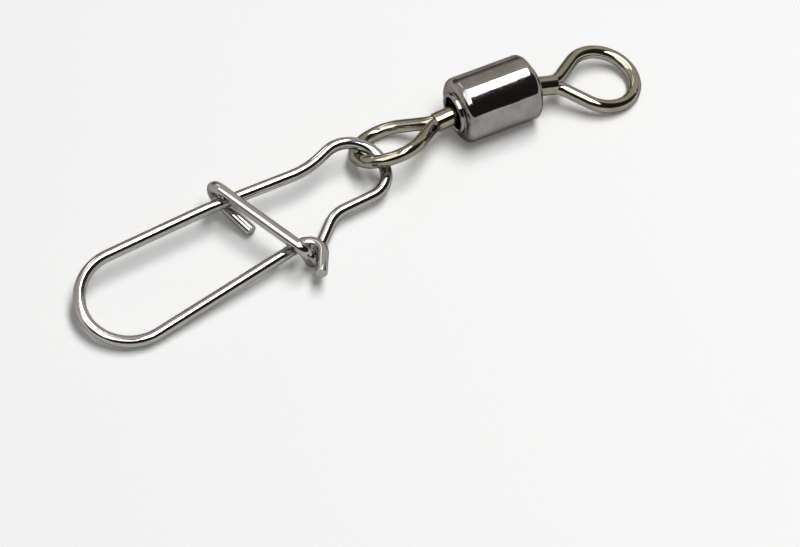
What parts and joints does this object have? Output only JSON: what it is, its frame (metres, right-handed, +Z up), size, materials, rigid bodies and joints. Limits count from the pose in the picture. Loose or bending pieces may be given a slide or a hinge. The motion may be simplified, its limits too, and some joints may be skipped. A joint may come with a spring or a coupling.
{
  "type": "fishing snap swivel",
  "caption": "Fishing snap swivel: rolling barrel with a wire eye at each end and a bent-wire snap with a crossbar hung on one eye.",
  "frame": {"origin": "centre of the opening of the line eye", "axes": "+X along the barrel, away from the snap; +Z up from the surface that the part lies on"},
  "size_m": [0.0423, 0.0109, 0.0045],
  "materials": {
    "barrel_metal": "dark nickel, polished with fine grain",
    "eye_metal": "dark nickel, polished",
    "snap_eye_metal": "dark nickel, polished",
    "snap_steel": "bright spring wire, polished"
  },
  "bodies": {
    "snap": {"snap": "snap_steel"},
    "snap_eye": {"snap_eye": "snap_eye_metal"},
    "barrel": {"barrel": "barrel_metal"},
    "line_eye": {"line_eye": "eye_metal"}
  },
  "joints": [
    {"name": "snap_swing", "type": "hinge", "parent": "snap", "child": "snap_eye", "pos_m": [-0.01787, 0.00073, 0.00027], "axis": [-0.0575, -0.8983, 0.4355], "range_deg": [-5, 120]},
    {"name": "snap_eye_spin", "type": "hinge", "parent": "snap_eye", "child": "barrel", "pos_m": [-0.00786, 0.00066, 0.00123], "axis": [1, 0, 0], "continuous": true},
    {"name": "line_eye_spin", "type": "hinge", "parent": "barrel", "child": "line_eye", "pos_m": [-0.00594, 0.00066, 0.00123], "axis": [0.9737, -0.1075, -0.2011], "continuous": true}
  ]
}
